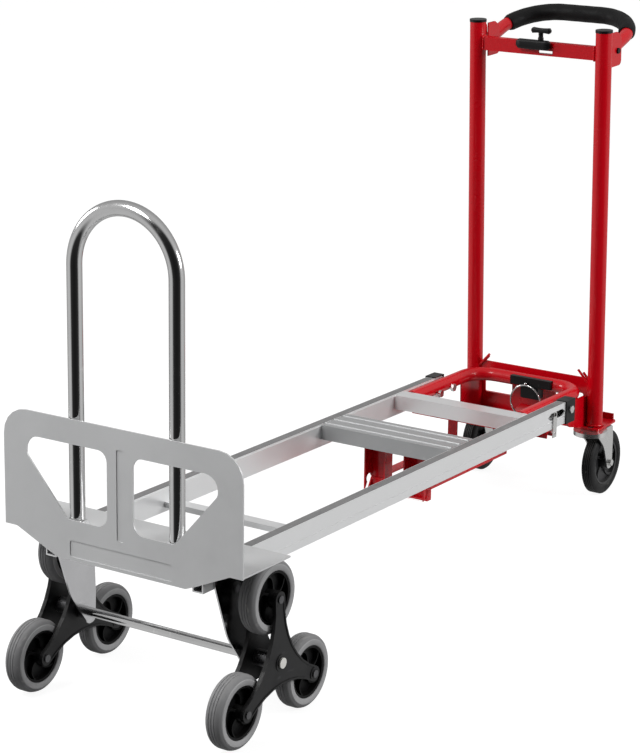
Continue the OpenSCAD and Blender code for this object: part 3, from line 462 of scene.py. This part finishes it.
def stairTyreProfile(outer, inner, half, setup):
    # round shoulders, shallow grooves in the tread and a raised ring on each side
    ringIn, ringOut = setup["ringInner"], setup["ringOuter"]
    side = [(inner, half - 0.002), (ringIn - 0.0012, half - 0.0012), (ringIn, half), (ringOut, half), (ringOut + 0.0008, half - 0.001),
        (outer - 0.0045, half - 0.0018), (outer - 0.002, half - 0.0042), (outer - 0.0006, half - 0.0072)]
    tread = []
    span = half - 0.008
    for k in range(setup["grooves"]):
        middle = span * (1 - 2 * (k + 0.5) / setup["grooves"])
        tread += [(outer, middle + 0.0012), (outer - setup["grooveDepth"], middle + 0.0006),
            (outer - setup["grooveDepth"], middle - 0.0006), (outer, middle - 0.0012)]
    return side + tread + [(r, -a) for r, a in reversed(side)]


def hubShape(centre, rim, half, boss, bossHalf, bore, spokes, sweep, thick):
    # an outer band, a boss round the pin, and swept spokes between them
    band = [(rim, half), (rim - 0.0012, half), (rim - 0.004, half - 0.0008), (rim - 0.0046, half - 0.006)]
    shapes = [latheShape(band + [(r, -a) for r, a in reversed(band)], centre, (0, 1, 0), 96)]
    shapes.append(latheShape([(bore, bossHalf), (boss - 0.0015, bossHalf), (boss, bossHalf - 0.0015), (boss + 0.0012, 0.004),
        (boss + 0.0012, -0.004), (boss, 0.0015 - bossHalf), (boss - 0.0015, -bossHalf), (bore, -bossHalf)], centre, (0, 1, 0), 64))
    for k in range(spokes):
        verts, faces = [], []
        rows = 9
        for i in range(rows):
            share = i / (rows - 1)
            radius = boss - 0.001 + (rim - 0.003 - boss) * share
            turn = 2 * math.pi * k / spokes + math.radians(sweep) * share * share
            width = (thick * (1.35 - 0.5 * math.sin(math.pi * share))) / 2
            deep = (half - 0.0035) * (0.82 + 0.18 * (2 * share - 1) ** 2)
            out = Vector((math.cos(turn), 0, math.sin(turn)))
            across = Vector((-math.sin(turn), 0, math.cos(turn)))
            for s, d in ((-1, -1), (-0.75, -1.08), (0.75, -1.08), (1, -1), (1, 1), (0.75, 1.08), (-0.75, 1.08), (-1, 1)):
                verts.append(Vector(centre) + out * radius + across * width * s + Vector((0, deep * d, 0)))
        for i in range(rows - 1):
            for m in range(8):
                n = (m + 1) % 8
                faces.append((i * 8 + m, i * 8 + n, (i + 1) * 8 + n, (i + 1) * 8 + m))
        shapes.append((verts, faces))
    return joinShapes(shapes)


def makeStairWheel(place, setup):
    low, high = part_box("tyre_" + place)
    centre = (low + high) / 2
    outer, half = (high.z - low.z) / 2, (high.y - low.y) / 2
    hubLow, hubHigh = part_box("hub_" + place)
    inner = (hubHigh.z - hubLow.z) / 2
    profile = stairTyreProfile(outer, inner, half, setup)
    verts, faces = latheShape(profile, centre, (0, 1, 0), 128)
    ring = {1, 2, 3, len(profile) - 4, len(profile) - 3, len(profile) - 5}
    picks = [1 if k % len(profile) in ring else 0 for k in range(len(faces))]
    body = "stair_wheel_" + place
    tyre = makePiece("tyre-" + place, verts, faces, [treadRubber, sideRubber], body, 50, picks)
    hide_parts("tyre_" + place)
    verts, faces = hubShape(centre, inner, half - 0.002, setup["bossRadius"], (hubHigh.y - hubLow.y) / 2, setup["boreRadius"],
        setup["spokes"], setup["spokeSweep"], setup["spokeThick"])
    boss, web = setup["bossRadius"], setup["webHalf"]
    disc = latheShape([(boss, web), (inner - 0.003, web), (inner - 0.003, -web), (boss, -web)], centre, (0, 1, 0), 96)
    verts, faces = joinShapes([(verts, faces), disc])
    hub = makePiece("hub-" + place, verts, faces, [hubPlastic], body, 40)
    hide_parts("hub_" + place)


for side in ("left", "right"):
    for place in ("top", "front", "rear"):
        makeStairWheel(place + "_" + side, stairWheel)
print("stage: stair wheels made")

# casters

casterWheel = {"ribs": 5, "ribDepth": 0.0016, "halfWidth": 0.013, "rimRadius": 0.047, "bossRadius": 0.016, "boreRadius": 0.0041,
    "spokes": 5, "spokeSweep": 20, "spokeThick": 0.006}


def makeCasterWheel(side, setup):
    node = "caster_wheel_" + side
    low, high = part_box(node)
    centre = (low + high) / 2
    outer, half = (high.z - low.z) / 2, setup["halfWidth"]
    rim = setup["rimRadius"]
    wall = [(rim, half - 0.003), (rim + 0.002, half - 0.001), (rim + 0.006, half),
        (outer - 0.009, half - 0.0002), (outer - 0.004, half - 0.0012), (outer - 0.0012, half - 0.003)]
    tread = []
    span = half - 0.0032
    for k in range(setup["ribs"]):
        middle = span * (1 - 2 * (k + 0.5) / setup["ribs"])
        reach = span / setup["ribs"]
        tread += [(outer - setup["ribDepth"], middle + reach * 0.98), (outer, middle + reach * 0.62),
            (outer, middle - reach * 0.62), (outer - setup["ribDepth"], middle - reach * 0.98)]
    profile = wall + tread + [(r, -a) for r, a in reversed(wall)]
    verts, faces = latheShape(profile, centre, (0, 1, 0), 128)
    tyre = makePiece("casterTyre-" + side, verts, faces, [casterRubber], node, 40)
    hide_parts(node)
    verts, faces = hubShape(centre, rim, half - 0.002, setup["bossRadius"], (high.y - low.y) / 2,
        setup["boreRadius"], setup["spokes"], setup["spokeSweep"], setup["spokeThick"])
    boss = setup["bossRadius"]
    disc = latheShape([(boss, 0.003), (rim - 0.004, 0.0045), (rim - 0.004, -0.0045), (boss, -0.003)], centre, (0, 1, 0), 96)
    verts, faces = joinShapes([(verts, faces), disc])
    hub = makePiece("casterHub-" + side, verts, faces, [casterRim], node, 40)


for side in ("left", "right"):
    makeCasterWheel(side, casterWheel)
print("stage: casters made")

# foam grip on the bow

foamGrip = {"radius": 0.017, "bend": 0.092, "slope": 16.6, "start": 0.071, "roundEnd": 0.002, "soft": 0.0001}


def makeFoamGrip(setup):
    low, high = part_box("foam_grip")
    slope = math.radians(setup["slope"])
    radius, bend = setup["radius"], setup["bend"]
    half = (high.y - low.y) / 2 - radius
    tipX, tipZ = high.x - radius, high.z - radius

    def at(along, across):
        # along runs back from the far end of the bow, down its slope
        return Vector((tipX - along * math.cos(slope), across, tipZ - along * math.sin(slope)))

    first = math.asin(1 - setup["start"] / bend)
    turns = [first + (math.pi / 2 - first) * i / 19 for i in range(20)]
    line = [at(bend - bend * math.sin(a), half - bend + bend * math.cos(a)) for a in turns]
    line += [at(0, (half - bend) * (1 - 2 * i / 10)) for i in range(1, 10)]
    line += [Vector((p.x, -p.y, p.z)) for p in reversed(line[:20])]
    tight = []
    for i, point in enumerate(line):
        edge = min(i, len(line) - 1 - i)
        worn = setup["soft"] * math.sin(i * 1.7)
        tight.append(radius - worn - 0.0004 - (setup["roundEnd"] if edge == 0 else 0))
    verts, faces = tubeShape(line, tight, 48)
    grip = makePiece("foamGrip", verts, faces, [foamSkin], "handle_frame", 60)
    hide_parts("foam_grip")


makeFoamGrip(foamGrip)
print("stage: grip made")

# spring latch on the crossbar: a rounded body, and a wing knob on a thick neck
springLatch = {"bodyBevel": 0.0045, "wingBevel": 0.003, "neckRadius": 0.0056, "waist": 0.72}


def roundedBlock(low, high, bevel, waist=1.0):
    # rows along Y; waist narrows the height of the middle rows
    verts, faces = [], []
    middle = (low + high) / 2
    wide, long, tall = (high - low) / 2
    rows, corners = 12, 4
    for i in range(rows + 1):
        share = 2 * i / rows - 1
        inset = bevel * (1 - math.sqrt(max(0, 1 - max(0, (abs(share) - 1 + bevel / long) * long / bevel) ** 2)))
        height = tall * (waist + (1 - waist) * share * share) - inset
        width = wide - inset
        edge = min(bevel, 0.8 * height, 0.8 * width)
        for k in range(4):
            sx, sz = ((1, 1), (-1, 1), (-1, -1), (1, -1))[k]
            for m in range(corners):
                turn = math.pi / 2 * (k + m / (corners - 1))
                across = sx * (width - edge) + edge * math.cos(turn)
                upward = sz * (height - edge) + edge * math.sin(turn)
                verts.append(middle + Vector((across, long * share, upward)))
    ring = 4 * corners
    for i in range(rows):
        for k in range(ring):
            n = (k + 1) % ring
            faces.append((i * ring + k, i * ring + n, (i + 1) * ring + n, (i + 1) * ring + k))
    faces.append(tuple(range(ring)))
    faces.append(tuple(rows * ring + k for k in range(ring)))
    return verts, faces


def makeLatch(setup):
    low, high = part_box("latch_body")
    verts, faces = roundedBlock(low, high, setup["bodyBevel"])
    body = makePiece("latchBody", verts, faces, [blackPlastic], "handle_frame", 40)
    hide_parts("latch_body")
    bodyTop = high.z
    low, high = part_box("latch_knob")
    x = (low.x + high.x) / 2
    wing = roundedBlock(Vector((low.x, low.y, high.z - 0.012)), high, setup["wingBevel"], setup["waist"])
    neckTop, r = high.z - 0.009, setup["neckRadius"]
    place = Vector((x, low.y + 0.022, 0))
    profile = [(r * 0.7, low.z), (r * 0.7, bodyTop), (r, bodyTop + 0.0006), (r, bodyTop + 0.004),
        (r * 0.8, bodyTop + 0.007), (r * 0.85, neckTop - 0.002), (r, neckTop)]
    neck = latheShape(profile, place, (0, 0, 1), 32, False)
    count = len(neck[0]) // 32
    neck[1].append(tuple(i * count for i in range(32)))
    neck[1].append(tuple(i * count + count - 1 for i in range(32)))
    verts, faces = joinShapes([wing, neck])
    knob = makePiece("latchKnob", verts, faces, [blackPlastic], "latch_knob", 40)
    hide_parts("latch_knob")


makeLatch(springLatch)
print("stage: latch made")

# dark strips on the rails, and weld beads on the red frame

railStrip = {"thick": 0.0005, "inner": 0.003, "outer": 0.0012, "startPast": 0.004, "stopShort": 0.002, "tilt": 2.4}


def makeRailStrip(side, setup):
    low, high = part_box("rail_" + side)
    toeEnd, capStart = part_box("toe_plate")[1].x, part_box("rail_end_caps")[0].x
    slope = math.tan(math.radians(setup["tilt"]))
    start, stop = toeEnd + setup["startPast"], capStart - setup["stopShort"]
    inward = 1 if side == "left" else -1
    inner = (low.y if inward > 0 else high.y) + inward * setup["inner"]
    outer = (high.y if inward > 0 else low.y) - inward * setup["outer"]

    def topAt(x):
        return high.z - (x - low.x) * slope

    verts = []
    for x in (start, stop):
        for y, lift in ((inner, -0.0003), (inner + inward * 0.0006, setup["thick"]), (outer - inward * 0.0006, setup["thick"]), (outer, -0.0003)):
            verts.append((x, y, topAt(x) + lift))
    faces = [(0, 1, 5, 4), (1, 2, 6, 5), (2, 3, 7, 6), (0, 3, 2, 1), (4, 5, 6, 7), (0, 4, 7, 3)]
    strip = makePiece("railStrip-" + side, verts, faces, [darkStrip], "deck", 30)


for side in ("left", "right"):
    makeRailStrip(side, railStrip)

weldBead = {"radius": 0.0022, "ripple": 0.00035, "every": 0.0016, "lift": 0.0029}


def makeWeld(name, points, closed, body, setup):
    # even ripples along the line, as a welder's weave leaves them
    fine = []
    count = len(points)
    for i in range(count if closed else count - 1):
        a, b = Vector(points[i]), Vector(points[(i + 1) % count])
        parts = max(1, int((b - a).length / setup["every"]))
        fine += [a.lerp(b, k / parts) for k in range(parts)]
    if not closed:
        fine.append(Vector(points[-1]))
    radii = [setup["radius"] + setup["ripple"] * math.sin(i * 2.1) for i in range(len(fine))]
    verts, faces = tubeShape(fine, radii, 8, closed)
    bead = makePiece(name, verts, faces, [redPaint], body, 70)


for side in ("left", "right"):
    low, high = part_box("post_" + side)
    x, y, radius = (low.x + high.x) / 2, (low.y + high.y) / 2, (high.x - low.x) / 2
    reach, turns = radius + 0.0004, [2 * math.pi * i / 48 for i in range(48)]
    ring = [(x + reach * math.cos(a), y + reach * math.sin(a), low.z + weldBead["lift"]) for a in turns]  # clear of the turning forks
    makeWeld("postWeld-" + side, ring, True, "handle_frame", weldBead)
    barLow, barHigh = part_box("crossbar")
    sign = 1 if side == "left" else -1
    edge = sign * (abs(y) - radius - 0.0003)
    loop = [(barLow.x, edge, barLow.z), (barHigh.x, edge, barLow.z), (barHigh.x, edge, barHigh.z), (barLow.x, edge, barHigh.z)]
    makeWeld("barWeld-" + side, loop, True, "handle_frame", weldBead)
    backLow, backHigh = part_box("back_plate")
    seam = [(backLow.x, sign * backHigh.y, backLow.z + 0.004), (backLow.x, sign * backHigh.y, backHigh.z - 0.002)]
    makeWeld("backWeld-" + side, seam, False, "handle_frame", weldBead)
print("stage: strips and welds made")
